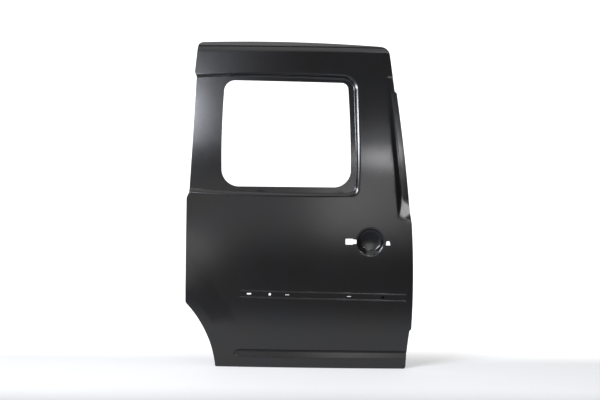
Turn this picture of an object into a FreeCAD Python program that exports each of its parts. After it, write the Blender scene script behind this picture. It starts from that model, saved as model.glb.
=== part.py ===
# Sliding side door shell of a compact van: pressed steel skin, hemmed round an inner panel.
# Millimetres. +X points to the front of the vehicle, +Z up, and the outside faces -Y.
# The model is drawn from the sill line (z = 0) and the widest point of the skin (y = 0),
# and moved at the end so that the origin lies on the pad of the rear roller bracket.
import FreeCAD
import Part
import math
import os

V = FreeCAD.Vector

# Sheet
SKIN_GAUGE = 0.8
INNER_GAUGE = 0.8
PLATE_GAUGE = 2.0
SEAT_GAP = 0.4

# Section of the skin: tangent arcs from the sill to the roof, and the crown along the vehicle
WIDEST_Z = 350.0
SILL_TUCK_R = 2350.0
SIDE_R = 3600.0
BELT_Z = 690.0
SHOULDER_R = 1700.0
SHOULDER_Z = 870.0
TUMBLEHOME_R = 9000.0
ROOF_EDGE_Z = 1222.0
ROOF_R = 46.0
ROOF_ANGLE = 64.0
CROWN_R = 8000.0

# Outline of the door, seen from outside
SILL_FRONT_X = 413.0
SILL_REAR_X = -316.6
SILL_REAR_Z = -1.0
SILL_FRONT_Z = -2.0
STEP_X = 425.5
STEP_Z = 147.0
STEP_OUT = 7.0
SILL_FRONT_BOW = 2.0
FRONT_X = 436.0
FRONT_Z = 330.0
WAIST_FRONT_X = 428.7
WAIST_FRONT_Z = 556.0
PILLAR_FOOT_X = 422.3
PILLAR_FOOT_Z = 600.0
PILLAR_TOP_X = 371.6
PILLAR_TOP_Z = 1064.0
PILLAR_BOW = 2.2
PILLAR_NOTCH = 7.5
PILLAR_NOTCH_RISE = 7.0
ROOF_FRONT_X = 342.5
ROOF_FRONT_Z = 1251.0
ROOF_MID_Z = 1272.6
ROOF_REAR_X = -410.0
ROOF_REAR_Z = 1268.0
HEADER_REAR_X = -419.5
HEADER_Z = 1130.0
HEADER_STEP = 8.0
GLASS_REAR_TOP_X = -412.3
GLASS_REAR_MID_X = -417.5
GLASS_REAR_LOW_X = -425.3
REAR_X = -434.3
BELT_STEP_Z = 656.0
BELT_STEP = 11.0
ARCH_REAR_X = -431.6
ARCH_TOP_Z = 246.0
ARCH_MID_X = -353.2
ARCH_MID_Z = 133.0
ROOF_FRONT_CORNER_R = 42.0
ROOF_REAR_CORNER_R = 18.0
SILL_FRONT_CORNER_R = 12.0
SILL_REAR_CORNER_R = 6.0
ARCH_CORNER_R = 10.0

# Hem folded round the edge of the inner panel
HEM_WIDTH = 11.0

# Window opening and the stepped recess that the fixed glass sits in
WINDOW_REAR_X = -299.8
WINDOW_FRONT_X = 193.0
WINDOW_FRONT_TOP_X = 181.0
WINDOW_TOP_Z = 1107.5
WINDOW_TOP_FALL = 6.0
WINDOW_SILL_Z = 691.0
WINDOW_SILL_RISE = 1.5
WINDOW_BOW = 4.0
WINDOW_REAR_BOW = 6.0
WINDOW_CORNERS = {"rear_top": 42.0, "front_top": 26.0, "front_low": 66.0, "rear_low": 68.0}
PINCH_WIDTH = 18.0
RECESS_DEPTH = 9.0
RECESS_DRAFT = 35.0
RECESS_FRONT_DRAFT = 57.0
RECESS_LEAN = 11.0
RECESS_FRONT_TOP_X = 224.0
RECESS_FRONT_LOW_X = 231.0
RECESS_FRONT_BOW = 7.0
RECESS_TOP_RISE = 6.0
RECESS_TOP_FALL = 13.0
RECESS_TOP_R = 45.0
RECESS_LOW_R = 32.0

# Joggle along the front edge of the pillar: a slanted wall, a floor that falls away from the skin
# towards the waist, and a ramp that brings it out again
JOGGLE_TOP_X = 329.5
JOGGLE_TOP_Z = 1129.0
JOGGLE_TOP_DEPTH = 2.0
JOGGLE_LOW_X = 371.0
JOGGLE_LOW_Z = 640.0
JOGGLE_LOW_DEPTH = 13.0
JOGGLE_BOW = 2.5
JOGGLE_WALL = 20.0
JOGGLE_FOOT_Z = 530.0
JOGGLE_SECTIONS = 6
RAMP_LOW_Z = 548.0
RAMP_HEIGHT = 82.0
RAMP_SLANT = 0.73

# Strip seated on the floor of the joggle, flush with the front edge
STRIP_WIDTH = 20.0
STRIP_HEIGHT = 3.0
STRIP_GAUGE = 1.0
STRIP_LOW_Z = 650.0

# Handle bowl and the two slots for the handle
BOWL_X = 271.5
BOWL_Z = 488.5
BOWL_R = 49.5
BOWL_TURN_R = 41.0
BOWL_TURN_DEPTH = 12.5
BOWL_FLOOR_R = 20.0
BOWL_DEPTH = 16.5
PIVOT_SLOT_X = 175.3
PIVOT_SLOT_Z = 486.0
PIVOT_SLOT_LENGTH = 29.0
PIVOT_SLOT_HEIGHT = 22.0
PIVOT_NECK_LENGTH = 13.0
PIVOT_NECK_HEIGHT = 16.0
LOCK_SLOT_X = 338.0
LOCK_SLOT_Z = 481.5
LOCK_SLOT_WIDTH = 17.0
LOCK_SLOT_TOP = 11.0
LOCK_SLOT_HEIGHT = 15.5

# Line of the side moulding and its clip holes
MOULDING_REAR_X = -227.0
MOULDING_FRONT_X = 412.0
MOULDING_Z = 279.0
MOULDING_FALL = 9.0
# each clip hole: place along the moulding, length along it, height
CLIP_HOLES = ((-189.0, 16.0, 5.4), (-110.0, 8.0, 8.5), (-44.0, 15.0, 1.8), (191.0, 15.0, 1.6),
              (321.0, 11.0, 7.0))

# Swage above the sill: a wall that turns in and a slope that comes out again below it
SWAGE_LOW_Z = 38.0
SWAGE_HIGH_Z = 70.0
SWAGE_REAR_X = -238.0
SWAGE_DEPTH = 8.5
SWAGE_WALL = 5.0
SWAGE_END_R = 14.0

# Inner panel: a flat-floored tray below the belt and a leaning frame round the window
FLANGE_WIDTH = 24.0
TRAY_Y = 88.0
TRAY_DRAFT = 10.0
TRAY_CORNER_R = 40.0
TRAY_FOOT_Y = 20.0
TRAY_FRONT_SET = 8.0
TRAY_REAR_SET = 10.0
TRAY_ARCH_SET = 12.0
FRAME_Y = 58.0
FRAME_LEAN = 12.2
FRAME_OVERLAP = 20.0
PAD_HEIGHT = 3.0

# Access openings in the tray: rear edge, front edge, low edge, high edge, corner radius
MAIN_OPENING = (-225.0, 225.0, 150.0, 545.0, 45.0)
LATCH_OPENING = (262.0, 372.0, 330.0, 560.0, 30.0)

# Bolted pads of the three roller brackets
BOLT_R = 4.2
REAR_PAD_X = -330.0
REAR_PAD_Z = 545.0
REAR_BOLTS_X = 46.0
REAR_BOLTS_Z = 74.0
LOW_PAD_X = 300.0
LOW_PAD_Z = 92.0
LOW_BOLTS_X = 90.0
LOW_BOLTS_Z = 34.0
TOP_PAD_X = 262.0
TOP_PAD_Z = 1180.0
TOP_BOLTS_X = 60.0
TOP_PLATE_HEIGHT = 36.0
PAD_MARGIN = 18.0
PLATE_MARGIN = 13.0

# Stiffeners inside the door
BELT_BAR_LOW_Z = 590.0
BELT_BAR_HIGH_Z = 640.0
BELT_BAR_REAR_X = -395.0
BELT_BAR_FRONT_X = 362.0
BELT_BAR_DEPTH = 14.0
BELT_BAR_FLANGE = 11.0
INNER_BAR_LOW_Z = 608.0
INNER_BAR_HIGH_Z = 652.0
INNER_BAR_DEPTH = 12.0
INNER_BAR_REAR_X = -375.0
BEAM_Z = 190.0
BEAM_R = 16.0
BEAM_WALL = 2.0
BEAM_Y = 36.0
BEAM_REAR_X = -290.0
BEAM_FRONT_X = 350.0
BRACKET_HEIGHT = 56.0
BRACKET_SEAT = 52.0
BRACKET_FOOT = 34.0
BRACKET_RISE = 26.0
FLUTTER_PADS_X = (-150.0, 30.0, 210.0)
FLUTTER_PAD_LENGTH = 34.0
FLUTTER_PAD_HEIGHT = 14.0
HANDLE_PLATE_MARGIN = 16.0
HANDLE_PLATE_CLEARANCE = 3.0
LATCH_Z = 440.0
LATCH_HEIGHT = 110.0
LATCH_LOW_Y = 34.0
LATCH_HIGH_Y = 78.0

# Reach of the drawing shapes past the sheet
PAST = 300.0
BELOW_SILL = 80.0
ROOF_REACH = 60.0
HALF_SPAN_ANGLE = 4.3
TOOL_OUT = 16.0
TOOL_IN = 26.0
TOOL_MARGIN = 2.0
NEAR = 0.001


def point(x, z, y=0.0):
    return V(x, y, z)


def lean_arc(y, z, start, end, radius, inset):
    """One arc of the section between two lean angles, moved inward by inset; gives the arc and its end."""
    def at(angle):
        return V(0, y + radius * (math.cos(start) - math.cos(angle)) + inset * math.cos(angle),
                 z + radius * (math.sin(angle) - math.sin(start)) - inset * math.sin(angle))
    arc = Part.Arc(at(start), at((start + end) / 2), at(end)).toShape()
    return arc, y + radius * (math.cos(start) - math.cos(end)), z + radius * (math.sin(end) - math.sin(start))


def body(inset):
    """Everything inside the plain skin surface, the surface itself moved inward by inset."""
    start = -math.asin((WIDEST_Z + BELOW_SILL) / SILL_TUCK_R)
    arc, y, z = lean_arc(SILL_TUCK_R * (1 - math.cos(start)), -BELOW_SILL, start, 0.0, SILL_TUCK_R, inset)
    edges = [arc]
    angle = 0.0
    for radius, top in ((SIDE_R, BELT_Z), (SHOULDER_R, SHOULDER_Z), (TUMBLEHOME_R, ROOF_EDGE_Z)):
        end = math.asin(math.sin(angle) + (top - z) / radius)
        arc, y, z = lean_arc(y, z, angle, end, radius, inset)
        edges.append(arc)
        angle = end
    end = math.radians(ROOF_ANGLE)
    arc, y, z = lean_arc(y, z, angle, end, ROOF_R, inset)
    edges.append(arc)
    first = edges[0].firstVertex().Point
    last = edges[-1].lastVertex().Point
    roof = last + V(0, math.sin(end), math.cos(end)) * ROOF_REACH
    edges.append(Part.makeLine(last, roof))
    back_high = V(0, 2 * PAST, roof.z)
    back_low = V(0, 2 * PAST, first.z)
    for start, end in ((roof, back_high), (back_high, back_low), (back_low, first)):
        edges.append(Part.makeLine(start, end))
    return crowned(Part.Face(Part.Wire(edges)))


def crowned(face):
    """A section carried along the crown of the door."""
    axis = V(0, CROWN_R, 0)
    face.rotate(axis, V(0, 0, 1), -HALF_SPAN_ANGLE)
    return face.revolve(axis, V(0, 0, 1), 2 * HALF_SPAN_ANGLE)


def depth_at(x, z):
    """Depth of the plain skin surface at a place on the door."""
    line = Part.makeLine(point(x, z, -PAST), point(x, z, PAST))
    return BODY.common(line).BoundBox.YMin


def outline(points, radii=None):
    """A closed outline in the XZ plane. A point is (x, z), or (x, z, middle) where an arc through the
    middle leads on to the next point. Corners take the radii given, in the same order."""
    edges = []
    for here, there in zip(points, points[1:] + points[:1]):
        if len(here) == 3:
            edges.append(Part.Arc(point(*here[:2]), point(*here[2]), point(*there[:2])).toShape())
        else:
            edges.append(Part.makeLine(point(*here), point(*there[:2])))
    block = Part.Face(Part.Wire(edges)).extrude(V(0, TOOL_OUT, 0))
    for radius in sorted(set(radii or []) - {0}):
        corners = [p for p, r in zip(points, radii) if r == radius]
        picked = [e for e in block.Edges for c in corners
                  if math.hypot(e.CenterOfMass.x - c[0], e.CenterOfMass.z - c[1]) < NEAR]
        block = block.makeFillet(radius, picked)
    return [f for f in block.Faces if f.BoundBox.YMax < NEAR][0].OuterWire


def rectangle(x_low, x_high, z_low, z_high, radius=0):
    return outline([(x_low, z_low), (x_high, z_low), (x_high, z_high), (x_low, z_high)], [radius] * 4)


def prism(wire, y_low=-PAST, y_high=PAST):
    solid = Part.Face(wire).extrude(V(0, y_high - y_low, 0))
    solid.translate(V(0, y_low, 0))
    return solid


def grown(wire, distance):
    return wire.makeOffset2D(distance, 0, False) if distance else wire


def door_outline():
    pillar_mid = ((PILLAR_FOOT_X + PILLAR_TOP_X) / 2 + PILLAR_BOW, (PILLAR_FOOT_Z + PILLAR_TOP_Z) / 2)
    corners = [
        (SILL_REAR_X, SILL_REAR_Z, SILL_REAR_CORNER_R),
        (SILL_FRONT_X, SILL_FRONT_Z, SILL_FRONT_CORNER_R,
         ((SILL_FRONT_X + STEP_X) / 2 - SILL_FRONT_BOW, STEP_Z / 2)),
        (STEP_X, STEP_Z, 0),
        (STEP_X + STEP_OUT, STEP_Z + STEP_OUT, 0, (FRONT_X, FRONT_Z)),
        (WAIST_FRONT_X, WAIST_FRONT_Z, 0),
        (PILLAR_FOOT_X, PILLAR_FOOT_Z, 0, pillar_mid),
        (PILLAR_TOP_X, PILLAR_TOP_Z, 0),
        (PILLAR_TOP_X - PILLAR_NOTCH, PILLAR_TOP_Z + PILLAR_NOTCH_RISE, 0),
        (ROOF_FRONT_X, ROOF_FRONT_Z, ROOF_FRONT_CORNER_R, ((ROOF_FRONT_X + ROOF_REAR_X) / 2, ROOF_MID_Z)),
        (ROOF_REAR_X, ROOF_REAR_Z, ROOF_REAR_CORNER_R),
        (HEADER_REAR_X, HEADER_Z + HEADER_STEP, 0),
        (GLASS_REAR_TOP_X, HEADER_Z - HEADER_STEP, 0, (GLASS_REAR_MID_X, (HEADER_Z + BELT_STEP_Z) / 2)),
        (GLASS_REAR_LOW_X, BELT_STEP_Z + BELT_STEP, 0),
        (REAR_X, BELT_STEP_Z - BELT_STEP, 0),
        (ARCH_REAR_X, ARCH_TOP_Z, ARCH_CORNER_R, (ARCH_MID_X, ARCH_MID_Z)),
    ]
    return outline([c[:2] + c[3:] for c in corners], [c[2] for c in corners])


def window_outline():
    middle = (WINDOW_TOP_Z + WINDOW_SILL_Z) / 2
    front_middle = (WINDOW_FRONT_X + WINDOW_FRONT_TOP_X) / 2 + WINDOW_BOW
    return outline(
        [(WINDOW_REAR_X, WINDOW_SILL_Z),
         (WINDOW_FRONT_X, WINDOW_SILL_Z + WINDOW_SILL_RISE, (front_middle, middle)),
         (WINDOW_FRONT_TOP_X, WINDOW_TOP_Z - WINDOW_TOP_FALL),
         (WINDOW_REAR_X, WINDOW_TOP_Z, (WINDOW_REAR_X - WINDOW_REAR_BOW, middle))],
        [WINDOW_CORNERS[name] for name in ("rear_low", "front_low", "front_top", "rear_top")])


def recess_tool(inset):
    """Tapered block that presses the glass recess, laid along the leaning skin and open to the rear."""
    rear = REAR_X - PAST / 3
    lean = math.radians(RECESS_LEAN)
    def up(z):
        return (z - BELT_Z) / math.cos(lean)
    wires = []
    for height in (-TOOL_OUT, TOOL_IN):
        spread = inset - height * math.tan(math.radians(RECESS_DRAFT))
        forward = inset - height * math.tan(math.radians(RECESS_FRONT_DRAFT))
        front_top = RECESS_FRONT_TOP_X + forward
        front_low = RECESS_FRONT_LOW_X + forward
        high_rear = up(HEADER_Z + RECESS_TOP_RISE) + spread
        high_front = up(HEADER_Z - RECESS_TOP_FALL) + spread
        low = up(BELT_STEP_Z) - spread
        bow = ((front_top + front_low) / 2 - RECESS_FRONT_BOW, (high_front + low) / 2)
        wire = outline([(rear, high_rear), (front_top, high_front, bow), (front_low, low), (rear, low)],
                       [0, RECESS_TOP_R, RECESS_LOW_R, 0])
        wire.translate(V(0, height, 0))
        wires.append(wire)
    block = Part.makeLoft(wires, True, True)
    block.rotate(V(0, 0, 0), V(1, 0, 0), -RECESS_LEAN)
    block.translate(V(0, depth_at(0, BELT_Z), BELT_Z))
    return block.cut(body(RECESS_DEPTH + inset))


def joggle_x(z):
    """Crest of the joggle's wall at a height, bowed along the pillar."""
    share = (z - JOGGLE_LOW_Z) / (JOGGLE_TOP_Z - JOGGLE_LOW_Z)
    bow = 4 * JOGGLE_BOW * share * (1 - share)
    return JOGGLE_LOW_X + (JOGGLE_TOP_X - JOGGLE_LOW_X) * share - bow


JOGGLE_FALL = (JOGGLE_LOW_DEPTH - JOGGLE_TOP_DEPTH) / (JOGGLE_TOP_Z - JOGGLE_LOW_Z)


def joggle_floor(inset):
    """Everything inside the floor of the joggle: the plain skin surface tipped in from its top end."""
    floor = body(inset)
    pivot = point(0, JOGGLE_TOP_Z, depth_at(JOGGLE_TOP_X, JOGGLE_TOP_Z))
    floor.rotate(pivot, V(1, 0, 0), math.degrees(math.asin(JOGGLE_FALL)))
    floor.translate(V(0, JOGGLE_TOP_DEPTH, 0))
    return floor


def joggle_ramp():
    """Block under the ramp at the foot of the joggle, which falls towards the front edge."""
    x = WAIST_FRONT_X
    high_z = RAMP_LOW_Z + RAMP_HEIGHT
    foot = V(x, depth_at(x, RAMP_LOW_Z), RAMP_LOW_Z)
    head = V(x, depth_at(x, high_z) + JOGGLE_TOP_DEPTH + JOGGLE_FALL * (JOGGLE_TOP_Z - high_z), high_z)
    start = foot - (head - foot)
    end = head + (head - foot)
    back = end.y + PAST
    ring = [start, end, V(x, back, end.z), V(x, back, start.z)]
    face = Part.Face(Part.makePolygon(ring + ring[:1]))
    slant = V(PAST, 0, -PAST * RAMP_SLANT)
    face.translate(slant * -0.5)
    return face.extrude(slant)


def joggle_tool(inset):
    """Block that presses the joggle, drawn as a row of level sections."""
    wires = []
    for step in range(JOGGLE_SECTIONS + 1):
        z = JOGGLE_FOOT_Z + (JOGGLE_TOP_Z - JOGGLE_FOOT_Z) * step / JOGGLE_SECTIONS
        x = joggle_x(z)
        depth = JOGGLE_TOP_DEPTH + JOGGLE_FALL * (JOGGLE_TOP_Z - z)
        crest = V(x, depth_at(x, z), z)
        foot = V(x + JOGGLE_WALL, depth_at(x + JOGGLE_WALL, z) + depth, z)
        over = (foot - crest) * (TOOL_MARGIN / depth)
        beyond = FRONT_X + PAST / 3
        ring = [crest - over, foot + over,
                V(beyond, foot.y + 2 * TOOL_IN, z), V(beyond, crest.y - 2 * TOOL_OUT, z)]
        wires.append(Part.makePolygon(ring + ring[:1]))
    block = Part.makeLoft(wires, True, False).cut(joggle_ramp())
    block.translate(V(0, inset, 0))
    return block.cut(joggle_floor(inset))


def bowl_tool(inset):
    """Bowl for the fingers, turned about a level axis: a steep side, a slanted turn and a flat floor."""
    surface = depth_at(BOWL_X, BOWL_Z)
    slope = (BOWL_R - BOWL_TURN_R) / BOWL_TURN_DEPTH
    profile = [(0, -TOOL_OUT), (BOWL_R + inset + TOOL_OUT * slope, -TOOL_OUT),
               (BOWL_TURN_R + inset, BOWL_TURN_DEPTH),
               (BOWL_FLOOR_R + inset / 2, BOWL_DEPTH + inset), (0, BOWL_DEPTH + inset)]
    ring = [point(BOWL_X + r, BOWL_Z, surface + y) for r, y in profile + profile[:1]]
    face = Part.Face(Part.makePolygon(ring))
    return face.revolve(point(BOWL_X, BOWL_Z), V(0, 1, 0), 360)


def swage_tool(inset):
    """Wedge that presses the swage, carried along the crown, round at its rear end."""
    low = V(0, depth_at(0, SWAGE_LOW_Z) + inset, SWAGE_LOW_Z)
    high = V(0, depth_at(0, SWAGE_HIGH_Z) + inset, SWAGE_HIGH_Z)
    deep_z = SWAGE_HIGH_Z - SWAGE_WALL
    deep = V(0, depth_at(0, deep_z) + SWAGE_DEPTH + inset, deep_z)
    ring = [deep, deep + (high - deep) * TOOL_MARGIN, deep + (low - deep) * TOOL_MARGIN, deep]
    wedge = crowned(Part.Face(Part.makePolygon(ring)))
    rear = SWAGE_REAR_X - inset
    front = SILL_FRONT_X + PAST / 3
    low_z = SWAGE_LOW_Z - PAST / 3
    high_z = SWAGE_HIGH_Z + TOOL_MARGIN
    end = outline([(rear, low_z), (front, low_z), (front, high_z), (rear, high_z)], [0, 0, 0, SWAGE_END_R])
    return wedge.common(prism(end))


def form(inset):
    """Everything inside the pressed skin surface, moved inward by inset."""
    shape = body(inset)
    for tool in (recess_tool, joggle_tool, bowl_tool, swage_tool):
        shape = shape.cut(tool(inset))
    return shape


def moulding_z(x):
    share = (x - MOULDING_REAR_X) / (MOULDING_FRONT_X - MOULDING_REAR_X)
    return MOULDING_Z + MOULDING_FALL * (0.5 - share)


def slot(x, z, length, height):
    return prism(rectangle(x - length / 2, x + length / 2, z - height / 2, z + height / 2))


def handle_slots(grow=0.0):
    """Keyhole of the handle's pivot at the rear of the bowl and the slot of its lever at the front."""
    wide = PIVOT_SLOT_HEIGHT / 2 + grow
    neck = PIVOT_NECK_HEIGHT / 2 + grow
    rear = PIVOT_SLOT_X - grow
    step = PIVOT_SLOT_X + PIVOT_SLOT_LENGTH + grow
    front = step + PIVOT_NECK_LENGTH
    z = PIVOT_SLOT_Z
    keyhole = outline([(rear, z - wide), (step, z - wide), (step, z - neck), (front, z - neck),
                       (front, z + neck), (step, z + neck), (step, z + wide), (rear, z + wide)])
    low = LOCK_SLOT_WIDTH / 2 + grow
    top = LOCK_SLOT_TOP / 2 + grow
    half = LOCK_SLOT_HEIGHT / 2 + grow
    lever = outline([(LOCK_SLOT_X - low, LOCK_SLOT_Z - half), (LOCK_SLOT_X + low, LOCK_SLOT_Z - half),
                     (LOCK_SLOT_X + top, LOCK_SLOT_Z + half), (LOCK_SLOT_X - top, LOCK_SLOT_Z + half)])
    return [prism(keyhole), prism(lever)]


def outer_skin():
    hem_inner = HEM_SEAT + SKIN_GAUGE
    pressed = FORM[0].cut(FORM[SKIN_GAUGE]).common(prism(EDGE))
    edge = FORM[SKIN_GAUGE].cut(FORM[hem_inner]).common(prism(EDGE).cut(prism(grown(EDGE, -SKIN_GAUGE))))
    fold = FORM[HEM_SEAT].cut(FORM[hem_inner])
    fold = fold.common(prism(grown(EDGE, -SKIN_GAUGE)).cut(prism(grown(EDGE, -HEM_WIDTH))))
    skin = pressed.fuse(edge).fuse(fold)
    skin = skin.cut(prism(WINDOW))
    for hole in handle_slots():
        skin = skin.cut(hole)
    for x, length, height in CLIP_HOLES:
        skin = skin.cut(slot(x, moulding_z(x), length, height))
    return skin


def tray_outline(inset):
    """Foot of the tray wall, set in from the door's edge by the flange and then by inset."""
    f = FLANGE_WIDTH
    belt = WINDOW_SILL_Z - PINCH_WIDTH
    wire = outline([(SILL_REAR_X + f, f), (SILL_FRONT_X - f, f, (FRONT_X - f, FRONT_Z)),
                    (PILLAR_FOOT_X - f - TRAY_FRONT_SET, belt), (REAR_X + f + TRAY_REAR_SET, belt),
                    (ARCH_REAR_X + f + TRAY_REAR_SET, ARCH_TOP_Z + TRAY_ARCH_SET,
                     (ARCH_MID_X + f, ARCH_MID_Z + TRAY_ARCH_SET))],
                   [TRAY_CORNER_R, TRAY_CORNER_R, 0, 0, TRAY_CORNER_R])
    return grown(wire, -inset)


def tray(inset):
    """Space inside the tray, its walls and floor moved in by inset."""
    slope = math.tan(math.radians(TRAY_DRAFT))
    wires = []
    for y in (-TOOL_OUT, TRAY_Y - inset):
        wire = tray_outline(inset / math.cos(math.radians(TRAY_DRAFT)) + (y - TRAY_FOOT_Y) * slope)
        wire.translate(V(0, y, 0))
        wires.append(wire)
    return Part.makeLoft(wires, True, True)


def window_frame(inset):
    """Space inside the channel round the window, closed by the leaning plane of the frame."""
    ring = prism(grown(EDGE, -FLANGE_WIDTH - inset)).cut(prism(grown(WINDOW, PINCH_WIDTH + inset)))
    foot = WINDOW_SILL_Z - PINCH_WIDTH - FRAME_OVERLAP
    ring = ring.cut(Part.makeBox(4 * PAST, 4 * PAST, 4 * PAST, V(-2 * PAST, -2 * PAST, foot - 4 * PAST)))
    room = Part.makeBox(4 * PAST, 2 * PAST, 4 * PAST, V(-2 * PAST, -2 * PAST - inset, -PAST))
    room.rotate(V(0, 0, 0), V(1, 0, 0), -FRAME_LEAN)
    room.translate(V(0, FRAME_Y, WINDOW_SILL_Z))
    return ring.common(room)


def pad_block(x, z, bolts_x, bolts_z, inset):
    reach_x = bolts_x / 2 + PAD_MARGIN - inset
    reach_z = bolts_z / 2 + PAD_MARGIN - inset
    wire = rectangle(x - reach_x, x + reach_x, z - reach_z, z + reach_z)
    return prism(wire, TRAY_Y - TOOL_OUT, TRAY_Y + PAD_HEIGHT - inset)


def inner_room(inset):
    """Space between the skin and the inner panel, its walls moved in by inset."""
    space = tray(inset).fuse(window_frame(inset))
    space = space.fuse(pad_block(REAR_PAD_X, REAR_PAD_Z, REAR_BOLTS_X, REAR_BOLTS_Z, inset))
    return space.fuse(pad_block(LOW_PAD_X, LOW_PAD_Z, LOW_BOLTS_X, LOW_BOLTS_Z, inset))


def bolt_hole(x, z):
    return Part.makeCylinder(BOLT_R, 2 * PAST, point(x, z, -PAST), V(0, 1, 0))


def corners_of(x, z, bolts_x, bolts_z):
    return [(x + i * bolts_x / 2, z + j * bolts_z / 2) for i in (-1, 1) for j in (-1, 1)]


REAR_BOLTS = corners_of(REAR_PAD_X, REAR_PAD_Z, REAR_BOLTS_X, REAR_BOLTS_Z)
LOW_BOLTS = corners_of(LOW_PAD_X, LOW_PAD_Z, LOW_BOLTS_X, LOW_BOLTS_Z)


def laid_on_frame(shape, x, z):
    """Lays a piece drawn flat in the XZ plane on the cavity side of the leaning frame."""
    lean = math.radians(FRAME_LEAN)
    y = FRAME_Y + (z - WINDOW_SILL_Z) * math.tan(lean) - INNER_GAUGE / math.cos(lean)
    place = FreeCAD.Placement(V(x, y, z), FreeCAD.Rotation(V(1, 0, 0), -FRAME_LEAN))
    shape.Placement = place.multiply(shape.Placement)
    return shape


def top_bolt_holes():
    holes = []
    for side in (-1, 1):
        hole = Part.makeCylinder(BOLT_R, 2 * TOOL_OUT, V(side * TOP_BOLTS_X / 2, -TOOL_OUT, 0), V(0, 1, 0))
        holes.append(laid_on_frame(hole, TOP_PAD_X, TOP_PAD_Z))
    return holes


def inner_panel():
    flange = FORM[PANEL_SEAT].cut(FORM[PANEL_SEAT + INNER_GAUGE]).common(prism(grown(EDGE, -PANEL_SEAT)))
    flange = flange.cut(prism(WINDOW)).cut(ROOM_INSIDE)
    walls = ROOM.cut(ROOM_INSIDE).common(FORM[PANEL_SEAT])
    panel = walls.fuse(flange)
    for rear, front, low, high, radius in (MAIN_OPENING, LATCH_OPENING):
        panel = panel.cut(prism(rectangle(rear, front, low, high, radius), TRAY_Y - TOOL_OUT))
    for x, z in REAR_BOLTS + LOW_BOLTS:
        panel = panel.cut(bolt_hole(x, z).common(ROOM))
    for hole in top_bolt_holes():
        panel = panel.cut(hole)
    return panel


def front_edge_strip():
    """Shallow capping channel seated on the floor of the joggle, flush with the door's edge."""
    def band(inset):
        low = STRIP_LOW_Z + inset
        bow = ((PILLAR_FOOT_X + PILLAR_TOP_X) / 2 + PILLAR_BOW, (PILLAR_FOOT_Z + PILLAR_TOP_Z) / 2)
        rear = STRIP_WIDTH - inset
        wire = outline([(PILLAR_FOOT_X - rear, PILLAR_FOOT_Z, (bow[0] - rear, bow[1])),
                        (PILLAR_TOP_X - rear, PILLAR_TOP_Z - inset),
                        (PILLAR_TOP_X - inset, PILLAR_TOP_Z - inset, (bow[0] - inset, bow[1])),
                        (PILLAR_FOOT_X - inset, PILLAR_FOOT_Z)])
        above = Part.makeBox(2 * PAST, 4 * PAST, 2 * PAST, V(0, -2 * PAST, low))
        return prism(wire).common(above)
    strip = band(0).common(joggle_floor(-STRIP_HEIGHT).cut(joggle_floor(0)))
    strip = strip.cut(band(STRIP_GAUGE).common(joggle_floor(STRIP_GAUGE - STRIP_HEIGHT)))
    return strip.cut(FORM[0])


def outer_belt_stiffener():
    """Hat section behind the skin under the window, bent to the skin."""
    hat = rectangle(BELT_BAR_REAR_X - TOOL_IN, BELT_BAR_FRONT_X + TOOL_IN, BELT_BAR_LOW_Z + BELT_BAR_FLANGE,
                    BELT_BAR_HIGH_Z - BELT_BAR_FLANGE)
    def bar(inset):
        return body(inset).cut(prism(grown(hat, inset)).cut(body(BELT_BAR_DEPTH + inset)))
    strip = rectangle(BELT_BAR_REAR_X, BELT_BAR_FRONT_X, BELT_BAR_LOW_Z, BELT_BAR_HIGH_Z)
    return bar(PANEL_SEAT).cut(bar(PANEL_SEAT + INNER_GAUGE)).common(prism(strip))


def inner_belt_stiffener():
    """Hat section on the cavity side of the tray floor under the window."""
    back = TRAY_Y - INNER_GAUGE
    face = back - INNER_BAR_DEPTH
    flange = BELT_BAR_FLANGE
    g = INNER_GAUGE
    low, high = INNER_BAR_LOW_Z, INNER_BAR_HIGH_Z
    ring = [(back, low), (back - g, low), (back - g, low + flange), (face, low + flange),
            (face, high - flange), (back - g, high - flange), (back - g, high), (back, high),
            (back, high - flange - g),
            (face + g, high - flange - g), (face + g, low + flange + g), (back, low + flange + g)]
    wire = Part.makePolygon([V(INNER_BAR_REAR_X, y, z) for y, z in ring + ring[:1]])
    return Part.Face(wire).extrude(V(BELT_BAR_FRONT_X - INNER_BAR_REAR_X, 0, 0))


def impact_beam():
    length = BEAM_FRONT_X - BEAM_REAR_X
    start = V(BEAM_REAR_X, BEAM_Y, BEAM_Z)
    tube = Part.makeCylinder(BEAM_R, length, start, V(1, 0, 0))
    return tube.cut(Part.makeCylinder(BEAM_R - BEAM_WALL, length, start, V(1, 0, 0)))


def beam_bracket(tip_x, side):
    """Cranked strap from the back of the beam to the tray floor; side is -1 at the rear, 1 at the front."""
    seat = BEAM_Y + BEAM_R
    floor = TRAY_Y - INNER_GAUGE
    g = PLATE_GAUGE
    run = [(0, seat), (BRACKET_SEAT, seat), (BRACKET_SEAT + BRACKET_RISE, floor - g),
           (BRACKET_SEAT + BRACKET_RISE + BRACKET_FOOT, floor - g)]
    ring = [(a, y) for a, y in run] + [(a, y + g) for a, y in reversed(run)]
    low = BEAM_Z - BRACKET_HEIGHT / 2
    wire = Part.makePolygon([V(tip_x + side * a, y, low) for a, y in ring + ring[:1]])
    return Part.Face(wire).extrude(V(0, 0, BRACKET_HEIGHT))


def handle_backing_plate():
    """Plate bonded behind the skin round the handle bowl, with the bowl and slots cut clear."""
    m = HANDLE_PLATE_MARGIN
    wire = rectangle(PIVOT_SLOT_X - m, LOCK_SLOT_X + LOCK_SLOT_WIDTH / 2 + m, BOWL_Z - BOWL_R - m,
                     BOWL_Z + BOWL_R + m)
    plate = body(PANEL_SEAT).cut(body(PANEL_SEAT + PLATE_GAUGE)).common(prism(wire))
    plate = plate.cut(bowl_tool(SKIN_GAUGE + HANDLE_PLATE_CLEARANCE))
    for hole in handle_slots(HANDLE_PLATE_CLEARANCE):
        plate = plate.cut(hole)
    return plate


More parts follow.
